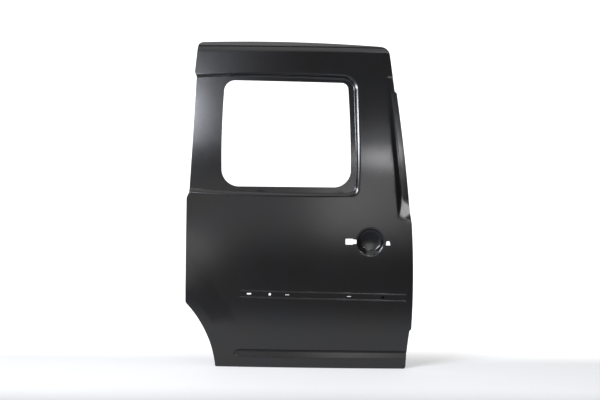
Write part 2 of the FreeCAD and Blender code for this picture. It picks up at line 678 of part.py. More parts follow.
def wall_plate(z, side):
    """Plate lining the end wall of the tray; side is -1 at the rear, 1 at the front."""
    reach = 2 * PAST
    window = Part.makeBox(reach, LATCH_HIGH_Y - LATCH_LOW_Y, LATCH_HEIGHT,
                          V(0 if side > 0 else -reach, LATCH_LOW_Y, z - LATCH_HEIGHT / 2))
    return tray(INNER_GAUGE).cut(tray(INNER_GAUGE + PLATE_GAUGE)).common(window)


def roller_plate(x, z, bolts_x, bolts_z, bolts):
    """Thick plate lining a raised pad of the tray, pierced for the bolts."""
    back = TRAY_Y + PAD_HEIGHT - INNER_GAUGE
    reach_x = bolts_x / 2 + PLATE_MARGIN
    reach_z = bolts_z / 2 + PLATE_MARGIN
    wire = rectangle(x - reach_x, x + reach_x, z - reach_z, z + reach_z)
    plate = prism(wire, back - PLATE_GAUGE, back)
    for bolt in bolts:
        plate = plate.cut(bolt_hole(*bolt))
    return plate


def upper_roller_plate():
    reach = TOP_BOLTS_X / 2 + PLATE_MARGIN
    plate = prism(rectangle(-reach, reach, -TOP_PLATE_HEIGHT / 2, TOP_PLATE_HEIGHT / 2), -PLATE_GAUGE, 0)
    plate = laid_on_frame(plate, TOP_PAD_X, TOP_PAD_Z)
    for hole in top_bolt_holes():
        plate = plate.cut(hole)
    return plate


def anti_flutter_pads():
    """Mastic pads that fill the gap between the beam and the skin."""
    clear = Part.makeCylinder(BEAM_R + SEAT_GAP, 4 * PAST, V(-2 * PAST, BEAM_Y, BEAM_Z), V(1, 0, 0))
    pads = []
    for x in FLUTTER_PADS_X:
        block = Part.makeBox(FLUTTER_PAD_LENGTH, BEAM_Y, FLUTTER_PAD_HEIGHT,
                             V(x - FLUTTER_PAD_LENGTH / 2, 0, BEAM_Z - FLUTTER_PAD_HEIGHT / 2))
        pads.append(block.common(body(PANEL_SEAT)).cut(clear))
    return Part.makeCompound(pads)


BODY = body(0)
EDGE = door_outline()
WINDOW = window_outline()
PANEL_SEAT = SKIN_GAUGE + SEAT_GAP
HEM_SEAT = PANEL_SEAT + INNER_GAUGE + SEAT_GAP
FORM = {inset: form(inset) for inset in (
    0, SKIN_GAUGE, PANEL_SEAT, PANEL_SEAT + INNER_GAUGE, HEM_SEAT, HEM_SEAT + SKIN_GAUGE)}
ROOM = inner_room(0)
ROOM_INSIDE = inner_room(INNER_GAUGE)

NODES = {
    "outer_skin": outer_skin(),
    "inner_panel": inner_panel(),
    "front_edge_strip": front_edge_strip(),
    "outer_belt_stiffener": outer_belt_stiffener(),
    "inner_belt_stiffener": inner_belt_stiffener(),
    "impact_beam": impact_beam(),
    "rear_beam_bracket": beam_bracket(BEAM_REAR_X + BRACKET_SEAT, -1),
    "front_beam_bracket": beam_bracket(BEAM_FRONT_X - BRACKET_SEAT, 1),
    "handle_backing_plate": handle_backing_plate(),
    "front_latch_plate": wall_plate(LATCH_Z, 1),
    "rear_lock_plate": wall_plate(LATCH_Z, -1),
    "rear_roller_plate": roller_plate(REAR_PAD_X, REAR_PAD_Z, REAR_BOLTS_X, REAR_BOLTS_Z, REAR_BOLTS),
    "lower_roller_plate": roller_plate(LOW_PAD_X, LOW_PAD_Z, LOW_BOLTS_X, LOW_BOLTS_Z, LOW_BOLTS),
    "upper_roller_plate": upper_roller_plate(),
    "anti_flutter_pads": anti_flutter_pads(),
}

os.makedirs("parts", exist_ok=True)
ORIGIN = point(REAR_PAD_X, REAR_PAD_Z, TRAY_Y + PAD_HEIGHT)
for name, shape in NODES.items():
    shape.translate(ORIGIN * -1)
    shape.exportStep("parts/%s.step" % name)
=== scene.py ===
import math
import bpy
import numpy as np
from mathutils import Matrix, Vector, geometry


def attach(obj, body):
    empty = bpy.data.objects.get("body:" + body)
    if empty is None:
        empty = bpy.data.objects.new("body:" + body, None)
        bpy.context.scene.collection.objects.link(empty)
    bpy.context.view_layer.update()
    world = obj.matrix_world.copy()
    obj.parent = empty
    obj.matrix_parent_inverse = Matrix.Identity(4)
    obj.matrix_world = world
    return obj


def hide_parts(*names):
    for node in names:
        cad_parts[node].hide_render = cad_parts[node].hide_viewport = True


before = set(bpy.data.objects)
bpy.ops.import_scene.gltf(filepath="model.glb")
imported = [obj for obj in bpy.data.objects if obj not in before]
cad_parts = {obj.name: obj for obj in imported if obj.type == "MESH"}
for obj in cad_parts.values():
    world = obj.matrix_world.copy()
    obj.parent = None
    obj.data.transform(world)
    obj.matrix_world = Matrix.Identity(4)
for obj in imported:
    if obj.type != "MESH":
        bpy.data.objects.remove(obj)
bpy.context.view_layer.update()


# Inner panel: one deep-drawn steel sheet, a tray below the belt and a channel round the window.
# The whole shell is dipped in black electrocoat, so every steel piece shares this satin film,
# a little uneven in gloss, with the fine ripple that the bath leaves.
class Film:
    """A value that changes over a surface: one socket of a node tree, with arithmetic that adds nodes."""

    def __init__(self, tree, socket=None):
        self.tree = tree
        self.socket = socket

    def node(self, kind, settings, inputs, output=0):
        made = self.tree.nodes.new("ShaderNode" + kind)
        for name, value in settings.items():
            if name == "stops":
                for stop, (place, colour) in zip(made.color_ramp.elements, value):
                    stop.position = place
                    stop.color = (*colour, 1)
            else:
                setattr(made, name, value)
        for name, value in inputs.items():
            if isinstance(value, Film):
                self.tree.links.new(value.socket, made.inputs[name])
            else:
                made.inputs[name].default_value = value
        return Film(self.tree, made.outputs[output])

    def maths(self, operation, first, second):
        return self.node("Math", {"operation": operation}, {0: first, 1: second})

    def __add__(self, other):
        return self.maths("ADD", self, other)

    __radd__ = __add__

    def __sub__(self, other):
        return self.maths("SUBTRACT", self, other)

    def __rsub__(self, other):
        return self.maths("SUBTRACT", other, self)

    def __mul__(self, other):
        return self.maths("MULTIPLY", self, other)

    __rmul__ = __mul__


def electrocoat(name, tone, gloss, ripple, dust):
    """Satin dip coat over steel; gloss is its middle roughness, dust the share of pale specks."""
    material = bpy.data.materials.new(name)
    material.use_nodes = True
    tree = material.node_tree
    film = Film(tree)
    place = film.node("TexCoord", {}, {}, "Object")

    def cloud(scale, detail):
        inputs = {"Vector": place, "Scale": scale, "Detail": detail, "Roughness": 0.55}
        return film.node("TexNoise", {}, inputs)

    drift = cloud(5.0, 3.0)
    smear = cloud(38.0, 4.0)
    grain = cloud(900.0, 2.0)
    peel = cloud(260.0, 2.0)
    browner = [c * w for c, w in zip(tone, (1.12, 1.0, 0.9))]
    bluer = [c * w for c, w in zip(tone, (0.92, 1.0, 1.13))]
    powder = (0.16, 0.16, 0.165, 1)
    warm = film.node("ValToRGB", {"stops": [(0.32, browner), (0.68, bluer)]}, {"Fac": drift})
    speck = film.node("ValToRGB", {"stops": [(0.66, (0, 0, 0)), (0.78, (1, 1, 1))]}, {"Fac": grain})
    colour = film.node("Mix", {"data_type": "RGBA"}, {"Factor": speck * dust, 6: warm, 7: powder}, 2)
    rough = gloss + (drift - 0.5) * 0.06 + (smear - 0.5) * 0.03 + speck * (0.5 * dust)
    bump = film.node("Bump", {}, {"Height": peel + 0.35 * grain, "Strength": ripple, "Distance": 0.00025})
    shader = tree.nodes["Principled BSDF"]
    shader.inputs["Specular IOR Level"].default_value = 0.5
    tree.links.new(colour.socket, shader.inputs["Base Color"])
    tree.links.new(rough.socket, shader.inputs["Roughness"])
    tree.links.new(bump.socket, shader.inputs["Normal"])
    return material


def dressed(names, material):
    """Gives carried-over solids their finish and evens out the shading across their facets."""
    for name in names:
        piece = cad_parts[name]
        piece.data.materials.clear()
        piece.data.materials.append(material)
        weld = piece.modifiers.new("weld", "WELD")
        weld.merge_threshold = 0.00001
        even = piece.modifiers.new("even", "WEIGHTED_NORMAL")
        even.keep_sharp = True


panel_coat = electrocoat("panel_electrocoat", (0.020, 0.020, 0.021), 0.40, 0.12, 0.25)
dressed(["inner_panel"], panel_coat)


# Roller plates: thick steel plates spot-welded behind the three pads that carry the rollers.
# They and the brackets inside the door are cut from hot-rolled strip and dipped with the shell.
plate_coat = electrocoat("plate_electrocoat", (0.024, 0.024, 0.025), 0.46, 0.30, 0.30)
dressed(["rear_roller_plate", "lower_roller_plate", "upper_roller_plate", "front_latch_plate",
         "rear_lock_plate", "handle_backing_plate", "rear_beam_bracket", "front_beam_bracket"], plate_coat)


# Weld nuts: ten hexagon nuts on the cavity side of the roller plates, for the brackets' M8 bolts.
# Pressed from cold-headed steel and projection-welded before the shell is dipped.
NUT_FLATS = 0.013
NUT_HEIGHT = 0.0065
NUT_BORE = 0.0042
NUT_CHAMFER = 0.0006
NUT_STEPS = 36
PLATE_BACK = -0.0028
nut_points, nut_faces = [], []
frame_lean = math.radians(12.2)
level = (0, -1, 0)
leant = (0, -math.cos(frame_lean), math.sin(frame_lean))
seats = [((x, PLATE_BACK, z), level) for x in (-0.023, 0.023) for z in (-0.037, 0.037)]
seats += [((0.630 + x, PLATE_BACK, z - 0.453), level) for x in (-0.045, 0.045) for z in (-0.017, 0.017)]
seats += [((0.592 + x, 0.0699, 0.6354), leant) for x in (-0.03, 0.03)]
for seat, axis in seats:
    axis = Vector(axis)
    side = Vector((1, 0, 0))
    other = axis.cross(side)
    first = len(nut_points)
    rings = ((0.0, "flats"), (0.9, "flats"), (1.0, "chamfer"), (1.0, "bore"), (0.0, "bore"))
    for height, form in rings:
        for k in range(NUT_STEPS):
            angle = 2 * math.pi * k / NUT_STEPS
            reach = NUT_FLATS / 2 / math.cos((angle + math.pi / 6) % (math.pi / 3) - math.pi / 6)
            if form == "chamfer":
                reach -= NUT_CHAMFER
            elif form == "bore":
                reach = NUT_BORE
            spoke = side * math.cos(angle) + other * math.sin(angle)
            nut_points.append(Vector(seat) + axis * (height * NUT_HEIGHT) + spoke * reach)
    for ring in range(len(rings)):
        low = first + ring * NUT_STEPS
        high = first + (ring + 1) % len(rings) * NUT_STEPS
        for k in range(NUT_STEPS):
            after = (k + 1) % NUT_STEPS
            nut_faces.append((low + k, low + after, high + after, high + k))
nut_mesh = bpy.data.meshes.new("weld_nuts")
nut_mesh.from_pydata(nut_points, [], nut_faces)
nut_mesh.materials.append(plate_coat)
weld_nuts = bpy.data.objects.new("weld_nuts", nut_mesh)
bpy.context.collection.objects.link(weld_nuts)
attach(weld_nuts, "root")


# Stiffeners: roll-formed hat sections along the belt and the drawn tube against side impact.
# They share the plates' thicker, duller film, as strip and tube take the coat less evenly.
dressed(["outer_belt_stiffener", "inner_belt_stiffener", "impact_beam"], plate_coat)


# Outer skin: one pressing, crowned along the vehicle, with its edge folded round the inner panel.
# It carries the glass recess, the joggle down the front pillar, the finger bowl of the handle,
# the line and clip holes of the side moulding and the swage above the sill. Drawn in millimetres
# from the sill line and the widest point, as the pressing itself is.
SHEET = 0.8
HEM_STACK = 3.2
HEM_WIDTH = 11.0
HEM_ROUND = 1.2
ROW_ORIGIN = (-330.0, 91.0, 545.0)
WIDEST = 350.0
CROWN = 8000.0
SILL_RADIUS = 2350.0
BELT = 690.0
SECTION_ARCS = ((3600.0, BELT), (1700.0, 870.0), (9000.0, 1222.0))
ROOF_BEND = 46.0
ROOF_LEAN = math.radians(64.0)


def section_depth(z):
    """Depth of the plain skin at a height: arcs that meet smoothly from the sill to the roof."""
    low = np.minimum(z, WIDEST) - WIDEST
    depth = SILL_RADIUS - np.sqrt(SILL_RADIUS ** 2 - low ** 2)
    sine, foot = 0.0, WIDEST
    for radius, top in SECTION_ARCS + ((ROOF_BEND, None),):
        if top is None:
            top = foot + radius * (math.sin(ROOF_LEAN) - sine)
        run = (np.clip(z, foot, top) - foot) / radius
        depth = depth + radius * (math.sqrt(1 - sine ** 2) - np.sqrt(1 - (sine + run) ** 2))
        sine += (top - foot) / radius
        foot = top
    return depth + np.maximum(z - foot, 0) * math.tan(ROOF_LEAN)


def plain(x, z):
    """Depth of the skin before anything is pressed into it."""
    return CROWN - np.sqrt((CROWN - section_depth(z)) ** 2 - x ** 2)


def eased(t, soft):
    """Nothing, then rising one for one, with a bend twice soft wide between."""
    return np.where(t < -soft, 0.0, np.where(t > soft, t, (t + soft) ** 2 / (4 * soft)))


def step(t, soft):
    """From nothing to one, with rounded ends."""
    return eased(t, soft) - eased(t - 1, soft)


def lower(a, b, soft):
    """The lower of two heights, with the crease between them rounded."""
    share = np.clip(0.5 + 0.5 * (b - a) / soft, 0, 1)
    return b * (1 - share) + a * share - soft * share * (1 - share)


def bump(t):
    """A smooth rise and fall between minus one and one."""
    return np.where(np.abs(t) < 1, (1 - np.minimum(t * t, 1)) ** 2, 0.0)


RECESS_DEPTH = 9.0
RECESS_LEAN = math.radians(11.0)
HIGH_DRAFT = math.tan(math.radians(35.0))
LOW_DRAFT = math.tan(math.radians(55.0))
FRONT_DRAFT = math.tan(math.radians(52.0))


def recess_gap(x, y, z):
    """Distance outside the wall of the glass recess, drawn on a plane that leans with the skin."""
    up = (z - BELT) * math.cos(RECESS_LEAN) + (y - BELT_DEPTH) * math.sin(RECESS_LEAN)
    sunk = (y - BELT_DEPTH) * math.cos(RECESS_LEAN) - (z - BELT) * math.sin(RECESS_LEAN)
    top = 454.3 - 19.3 * (x + 532.0) / 757.0 + 10.5 * step((x + 388.0) / 200.0, 0.1)
    high = up - top + sunk * HIGH_DRAFT
    low = -36.5 - up + sunk * LOW_DRAFT
    middle = (up - 200.0) / 235.0
    front = x - (223.5 - 6.5 * middle - 7.0 * (1 - middle ** 2)) + sunk * FRONT_DRAFT

    def rounded(a, b, radius):
        inside = np.minimum(np.maximum(a + radius, b + radius), 0)
        return np.hypot(np.maximum(a + radius, 0), np.maximum(b + radius, 0)) + inside - radius

    return np.maximum(rounded(high, front, 52.0), rounded(low, front, 32.0))


BELT_DEPTH = float(plain(0.0, BELT))


def recess_share(x, y, z):
    """Where a place lies across the wall of the recess: nought at the rim, one at the foot."""
    above = recess_gap(x, y, z)
    below = recess_gap(x, y + RECESS_DEPTH, z)
    return -above / np.maximum(below - above, 0.1)


def recess(x, y, z):
    """Depth of the glass recess: a wide round at the rim of its wall and a tight one at the foot."""
    share = recess_share(x, y, z)
    return RECESS_DEPTH * (eased(share, 0.68) - eased(share - 1, 0.14))


JOGGLE_FOOT, JOGGLE_HEAD = 640.0, 1129.0
WAIST_X = 428.7


def joggle_floor(z):
    return 2.0 + 11.0 * (JOGGLE_HEAD - z) / (JOGGLE_HEAD - JOGGLE_FOOT)


def joggle(x, z):
    """Depth of the pressed-in front edge: a slanted wall, a falling floor and a ramp at its foot."""
    share = (z - JOGGLE_FOOT) / (JOGGLE_HEAD - JOGGLE_FOOT)
    crest = 371.0 - 41.5 * share - 10.0 * share * (1 - share)
    wall = 1 - eased(1 - (x - crest) / 20.0, 0.3)
    ramp = lower((z - 548.0 - 0.73 * (WAIST_X - x)) / 82.0, (z - 569.0) / 40.0, 0.2)
    head = 1 - step((z - (JOGGLE_HEAD - 5.0)) / 5.0, 0.5)
    return joggle_floor(z) * eased(lower(wall, ramp, 0.25), 0.2) * head


BOWL_X, BOWL_Z = 271.5, 488.5
BOWL_RADIUS = 50.2
BOWL_DEPTH = 17.2


def bowl(x, y, z):
    """The skin at the finger bowl: a dished floor in a side that is steeper above, with a rounded rim."""
    r = np.hypot(x - BOWL_X, z - BOWL_Z)
    side = (BOWL_RADIUS - r) * (1.25 + 0.25 * (z - BOWL_Z) / np.maximum(r, 1.0))
    dish = BOWL_DEPTH - r ** 2 / 360.0
    sunk = float(plain(BOWL_X, BOWL_Z)) + lower(side, dish, 4.0)
    return -lower(-y, -sunk, 6.0)


MOULDING_REAR, MOULDING_FRONT = -227.0, 412.0
MOULDING_HALF = 14.5


def moulding_z(x):
    """Height of the middle of the side moulding, which falls a little to the front."""
    return 279.0 + 9.0 * (0.5 - (x - MOULDING_REAR) / (MOULDING_FRONT - MOULDING_REAR))


def moulding_line(x, z):
    """Raised line round the place of the side moulding, run out at its rear end."""
    beyond = np.maximum(np.abs(z - moulding_z(x)) - MOULDING_HALF, x - MOULDING_FRONT)
    return 1.1 * bump((beyond + 2.4) / 2.4) * step((x - MOULDING_REAR) / 14.0, 0.4)


SWAGE_DEPTH = 8.3


def swage(x, z):
    """Swage above the sill: a wall turns in, a slope comes out again below it, and the rear end is round."""
    wall = (70.0 - z) / 5.0
    slope = (z - 38.0) / 27.0
    end = (x + 247.0 - 0.09 * (z - 55.0) ** 2) / 10.0
    return SWAGE_DEPTH * eased(lower(lower(wall, slope, 0.25), end, 0.5), 0.06)


ARCH = (-431.6, 246.0), (-353.2, 133.0), (-316.6, -1.0)
FLARE_START, FLARE_ROLL = 125.0, 38.0


def circle_through(a, b, c):
    """Centre and radius of the circle through three points."""
    p, q, r = (complex(*point) for point in (a, b, c))
    w = (r - p) / (q - p)
    centre = (q - p) * (w - abs(w) ** 2) / (2j * w.imag) + p
    return centre, abs(p - centre)


def arch_flare(x, z):
    """The skin comes out a little towards the wheel arch and rolls over at its edge."""
    centre, radius = circle_through(*ARCH)
    away = np.hypot(x - centre.real, z - centre.imag) - radius
    climb = np.clip((FLARE_START - away) / (FLARE_START - FLARE_ROLL), 0, 1)
    flare = 5.5 * eased(climb, 0.1) - 1.1 * np.maximum(1 - away / FLARE_ROLL, 0) ** 2
    return flare * step((z - 95.0 - 0.55 * (x + 320.0)) / 60.0, 0.5)


def skin(x, z):
    """Depth of the outside of the pressing at a place on the door."""
    y = plain(x, z)
    y = y + recess(x, y, z) + joggle(x, z) + swage(x, z) - arch_flare(x, z) - moulding_line(x, z)
    return bowl(x, y, z)


def leaning(x, z):
    """Outward normal of the pressing."""
    d = 0.3
    across = (skin(x + d, z) - skin(x - d, z)) / (2 * d)
    upward = (skin(x, z + d) - skin(x, z - d)) / (2 * d)
    normal = np.stack([across, -np.ones_like(across), upward], 1)
    return normal / np.linalg.norm(normal, axis=1)[:, None]


def traced(corners, spacing):
    """A closed outline. Each corner is x, z and its radius, and then a point on the side after it if that
    side is an arc."""
    sides = []
    for here, there in zip(corners, corners[1:] + corners[:1]):
        a, b = np.array(here[:2], float), np.array(there[:2], float)
        share = np.linspace(0, 1, 400)[:, None]
        if len(here) == 4:
            centre, radius = circle_through(here[:2], here[3], there[:2])
            turns = np.unwrap([np.angle(complex(*p) - centre) for p in (a, here[3], b)])
            angle = turns[0] + (turns[2] - turns[0]) * share[:, 0]
            arc = [centre.real + radius * np.cos(angle), centre.imag + radius * np.sin(angle)]
            sides.append(np.stack(arc, 1))
        else:
            sides.append(a + (b - a) * share)
    points = []
    for before, after, corner in zip(sides[-1:] + sides[:-1], sides, corners):
        into, out = before[-1] - before[-2], after[1] - after[0]
        into, out = into / np.linalg.norm(into), out / np.linalg.norm(out)
        half_turn = math.acos(np.clip(into @ out, -1, 1)) / 2
        points.append((np.array(corner[:2]), into, out, half_turn, corner[2] * math.tan(half_turn)))
    line = []
    for number, side in enumerate(sides):
        corner, into, out, half_turn, reach = points[number]
        if reach > 0.05:
            count = max(2, int(2 * half_turn * reach / spacing * 1.5), int(half_turn / 0.12))
            t = np.linspace(0, 1, count + 1)[:, None]
            weight = 2 * t * (1 - t) * math.cos(half_turn)
            start, end = corner - into * reach, corner + out * reach
            round_off = (1 - t) ** 2 * start + weight * corner + t ** 2 * end
            line.append(round_off / ((1 - t) ** 2 + weight + t ** 2))
        run = np.linalg.norm(np.diff(side, axis=0), axis=1).cumsum()
        run = np.concatenate([[0], run])
        begin, finish = reach, run[-1] - points[(number + 1) % len(sides)][4]
        count = max(1, int(round((finish - begin) / spacing)))
        at = np.linspace(begin, finish, count + 1)
        line.append(np.stack([np.interp(at, run, side[:, k]) for k in (0, 1)], 1))
    line = np.concatenate(line)
    keep = np.linalg.norm(line - np.roll(line, 1, 0), axis=1) > 0.05
    return line[keep]


def inward(line):
    """Normals of a closed outline that point into it."""
    along = np.roll(line, -1, 0) - np.roll(line, 1, 0)
    along /= np.linalg.norm(along, axis=1)[:, None]
    x, z = line.T
    turn = np.sign(np.sum(x * np.roll(z, -1) - z * np.roll(x, -1)))
    return turn * np.stack([-along[:, 1], along[:, 0]], 1)


def holds(line, points):
    """Which points lie inside a closed outline."""
    inside = np.zeros(len(points), bool)
    for (ax, az), (bx, bz) in zip(line, np.roll(line, -1, 0)):
        crosses = (az > points[:, 1]) != (bz > points[:, 1])
        if bz != az:
            inside ^= crosses & (points[:, 0] < ax + (points[:, 1] - az) * (bx - ax) / (bz - az))
    return inside


def nearest(line, points):
    """Distance of each point from a closed outline."""
    best = np.full(len(points), 1e9)
    for a, b in zip(line, np.roll(line, -1, 0)):
        run = b - a
        share = np.clip((points - a) @ run / (run @ run), 0, 1)
        best = np.minimum(best, np.linalg.norm(points - a - share[:, None] * run, axis=1))
    return best


PILLAR = (422.3, 600.0), (399.15, 832.0), (371.6, 1064.0)
edge = traced([
    (*ARCH[2], 6), (413, -2, 12, (417.25, 73.5)), (425.5, 147, 4), (432.5, 154, 4, (436, 330)),
    (WAIST_X, 556, 0), (*PILLAR[0], 0, PILLAR[1]), (*PILLAR[2], 1.5), (364.1, 1071, 2),
    (342.5, 1251, 42, (-33.75, 1272.6)), (-410, 1268, 18), (-419.5, 1138, 4),
    (-412.3, 1122, 4, (-417.5, 893)), (-425.3, 667, 4), (-434.3, 645, 4), (*ARCH[0], 10, ARCH[1])], 6.0)
window = traced([(-299.8, 691, 68), (193, 692.5, 66, (191, 899.25)), (181, 1101.5, 26),
                 (-299.8, 1107.5, 42, (-305.8, 899.25))], 5.0)
pivot_slot = traced([(175.3, 475, 3), (204.3, 475, 1), (204.3, 478, 1), (217.3, 478, 2), (217.3, 494, 2),
                     (204.3, 494, 1), (204.3, 497, 1), (175.3, 497, 3)], 3.0)
lever_slot = traced([(329.5, 473.75, 1.5), (346.5, 473.75, 1.5), (343.5, 489.25, 1.5),
                     (332.5, 489.25, 1.5)], 3.0)
holes = [window, pivot_slot, lever_slot]
clip_holes = ((-189, 16, 5.4), (-110, 8, 8.5), (-44, 15, 1.8), (191, 15, 1.6), (321, 11, 7))
for x, length, height in clip_holes:
    z = moulding_z(x)
    half, tall, turn = length / 2, height / 2, min(2.2, 0.4 * height)
    holes.append(traced([(x - half, z - tall, turn), (x + half, z - tall, turn), (x + half, z + tall, turn),
                         (x - half, z + tall, turn)], 2.0))
edge_in = inward(edge)
brim = edge + edge_in * HEM_ROUND
fold_line = edge + edge_in * HEM_WIDTH
fold_line = fold_line[nearest(edge, fold_line) > HEM_WIDTH - 0.15]

# points closer together where the pressing bends
fine = 2.0
columns, rows = np.arange(-440, 444, fine), np.arange(-2, 1274, fine)
grid_x, grid_z = np.meshgrid(columns, rows)
height = skin(grid_x, grid_z)
bend = np.zeros_like(height)
bend[:, 1:-1] += np.abs(height[:, 2:] - 2 * height[:, 1:-1] + height[:, :-2])
bend[1:-1] += np.abs(height[2:] - 2 * height[1:-1] + height[:-2])
number_x, number_z = np.meshgrid(np.arange(len(columns)), np.arange(len(rows)))
kept = (number_x % 6 == 0) & (number_z % 6 == 0)
for every, least in ((3, 0.012), (2, 0.035), (1, 0.10)):
    kept |= (bend > least) & (number_x % every == 0) & (number_z % every == 0)
spots = np.stack([grid_x[kept], grid_z[kept]], 1)

# even rows across the front wall of the recess, so that its highlight runs true
WALL_FOOT, WALL_HEAD = 690, 1080
spot_x, spot_z = spots.T
spot_share = recess_share(spot_x, plain(spot_x, spot_z), spot_z)
by_wall = (spot_share > -0.85) & (spot_share < 1.35) & (spot_x > 150)
by_wall &= (spot_z > WALL_FOOT) & (spot_z < WALL_HEAD)
spots = spots[~by_wall]
across = np.arange(180, 250, 0.25)
wall_share = np.concatenate([np.arange(-0.8, 0.8, 0.1), np.arange(0.82, 1.2, 0.04), [1.3]])
for z in np.arange(WALL_FOOT, WALL_HEAD + 1, 2.5):
    share = recess_share(across, plain(across, z), z)
    wall_x = np.interp(-wall_share, -share, across)
    spots = np.concatenate([spots, np.stack([wall_x, np.full_like(wall_x, z)], 1)])

# rows along both lines of the moulding and across its front end
line_x = np.arange(MOULDING_REAR + 1, MOULDING_FRONT, 5.0)
for off in (-2.6, -1.3, 0.0, 1.3, 2.6):
    for side in (-1, 1):
        spots = np.concatenate([spots, np.stack([line_x, moulding_z(line_x) + side * (12.1 + off)], 1)])
    end_z = np.arange(262, 290, 3.0)
    spots = np.concatenate([spots, np.stack([np.full_like(end_z, 409.5 + off), end_z], 1)])

# nothing outside the door, in a hole or too close to an outline
spots = spots[holds(brim, spots)]
clear = nearest(brim, spots) > 1.4
clear &= nearest(fold_line, spots) > 1.2
for hole in holes:
    clear &= ~holds(hole, spots)
    clear &= nearest(hole, spots) > 1.0
spots = spots[clear]

loops = [brim, fold_line] + holes
flat = [Vector(p) for p in np.concatenate(loops + [spots])]
rims, count = [], 0
for loop in loops:
    rims += [(count + k, count + (k + 1) % len(loop)) for k in range(len(loop))]
    count += len(loop)
flat, _, faces, _, _, _ = geometry.delaunay_2d_cdt(flat, rims, [], 0, 1e-5, False)
flat = np.array([tuple(p) for p in flat])
faces = np.array([tuple(f) for f in faces])
middle = flat[faces].mean(1)
inside = holds(brim, middle)
for hole in holes:
    inside &= ~holds(hole, middle)
faces = faces[inside]
area = np.cross(flat[faces[:, 1]] - flat[faces[:, 0]], flat[faces[:, 2]] - flat[faces[:, 0]])
faces[area < 0] = faces[area < 0][:, ::-1]
in_fold = ~holds(fold_line, flat[faces].mean(1))


def border(triangles):
    """Directed edges that belong to one triangle only."""
    ends = np.concatenate([triangles[:, [0, 1]], triangles[:, [1, 2]], triangles[:, [2, 0]]])
    known = {tuple(e) for e in ends.tolist()}
    return [e for e in known if (e[1], e[0]) not in known]


depth = skin(flat[:, 0], flat[:, 1])
normal = leaning(flat[:, 0], flat[:, 1])
points, normals, polygons = [], [], []


def layer(sunk, facing):
    """One face of the sheet at a depth behind the outside; returns the number of its first point."""
    first = len(points)
    points.extend(np.stack([flat[:, 0], depth + sunk, flat[:, 1]], 1).tolist())
    normals.extend((normal * facing).tolist())
    return first


front = layer(0.0, 1)
back = layer(SHEET, -1)
fold_front = layer(HEM_STACK - SHEET, 1)
fold_back = layer(HEM_STACK, -1)
polygons += (faces + front).tolist()
polygons += (faces[:, ::-1] + back).tolist()
polygons += (faces[in_fold] + fold_front).tolist()
polygons += (faces[in_fold][:, ::-1] + fold_back).tolist()
brim_gap = nearest(brim, flat)
fold_gap = nearest(fold_line, flat)
turn_points = {}
for a, b in border(faces):
    if brim_gap[a] < 0.02 and brim_gap[b] < 0.02:
        turn_points[a] = b
    else:
        polygons.append([front + b, front + a, back + a, back + b])
for a, b in border(faces[in_fold]):
    if fold_gap[a] < 0.02 and fold_gap[b] < 0.02:
        polygons.append([fold_front + b, fold_front + a, fold_back + a, fold_back + b])
rolled = {}
slopes = inward(brim)
for a in turn_points:
    near = np.argmin(np.linalg.norm(brim - flat[a], axis=1))
    rolled[a] = []
    for turn in (0.25, 0.5, 0.75):
        angle = math.pi * turn
        out = -slopes[near] * HEM_ROUND * math.sin(angle)
        sunk = HEM_STACK / 2 * (1 - math.cos(angle))
        rolled[a].append(len(points))
        points.append([flat[a][0] + out[0], depth[a] + sunk, flat[a][1] + out[1]])
        facing = normal[a] * math.cos(angle)
        facing = facing + np.array([-slopes[near][0], 0, -slopes[near][1]]) * math.sin(angle)
        normals.append((facing / np.linalg.norm(facing)).tolist())
for a, b in turn_points.items():
    ring_a = [front + a] + rolled[a] + [fold_back + a]
    ring_b = [front + b] + rolled[b] + [fold_back + b]
    for k in range(4):
        polygons.append([ring_b[k], ring_a[k], ring_a[k + 1], ring_b[k + 1]])
    polygons.append([back + a, back + b, fold_front + b, fold_front + a])
points = (np.array(points) - ROW_ORIGIN) / 1000.0
used = np.unique([k for polygon in polygons for k in polygon])
renumber = np.full(len(points), -1)
renumber[used] = np.arange(len(used))
mesh = bpy.data.meshes.new("door_skin")
mesh.from_pydata(points[used].tolist(), [], [[int(renumber[k]) for k in polygon] for polygon in polygons])
mesh.validate()
mesh.shade_smooth()
mesh.normals_split_custom_set_from_vertices(np.array(normals)[used].tolist())
door_skin = bpy.data.objects.new("door_skin", mesh)
bpy.context.collection.objects.link(door_skin)
skin_coat = electrocoat("skin_electrocoat", (0.0075, 0.0075, 0.0079), 0.213, 0.012, 0.03)
mesh.materials.append(skin_coat)
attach(door_skin, "root")
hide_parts("outer_skin")


# Front edge strip: a shallow rolled channel laid on the floor of the joggle, flush with the door's edge.
# It is spot-welded to the skin before the dip, so it has the skin's own film. Its lower end is
# twisted a little to the front, where it runs out above the ramp.
STRIP_WIDTH = 20.0
STRIP_FOOT, STRIP_HEAD = 650.0, 1063.0
STRIP_OUTSIDE = ((0.0, 0.1), (0.0, 3.0), (5.0, 3.1), (10.0, 3.15), (15.0, 3.1), (20.0, 3.0), (20.0, 0.1))
STRIP_INSIDE = ((19.0, 0.1), (19.0, 2.0), (10.0, 2.15), (1.0, 2.0), (1.0, 0.1))
strip_loop = np.array(STRIP_OUTSIDE + STRIP_INSIDE)
centre, radius = circle_through(*PILLAR)
strip_points = []
for z in np.linspace(STRIP_FOOT, STRIP_HEAD, 70):
    front_x = centre.real + math.sqrt(radius ** 2 - (z - centre.imag) ** 2)
    x = front_x - STRIP_WIDTH + strip_loop[:, 0]
    floor_y = plain(x, z) + joggle_floor(z)
    twist = 0.075 * (1 - step((z - 690.0) / 110.0, 0.5)) * (strip_loop[:, 0] - 0.5 * STRIP_WIDTH)
    y = floor_y - strip_loop[:, 1] + twist * (strip_loop[:, 1] > 1.0)
    strip_points.append(np.stack([x, y, np.full_like(x, z)], 1))
strip_points = (np.concatenate(strip_points) - ROW_ORIGIN) / 1000.0
ring = len(strip_loop)
strip_faces = [tuple(range(ring)), tuple(range(len(strip_points) - 1, len(strip_points) - ring - 1, -1))]
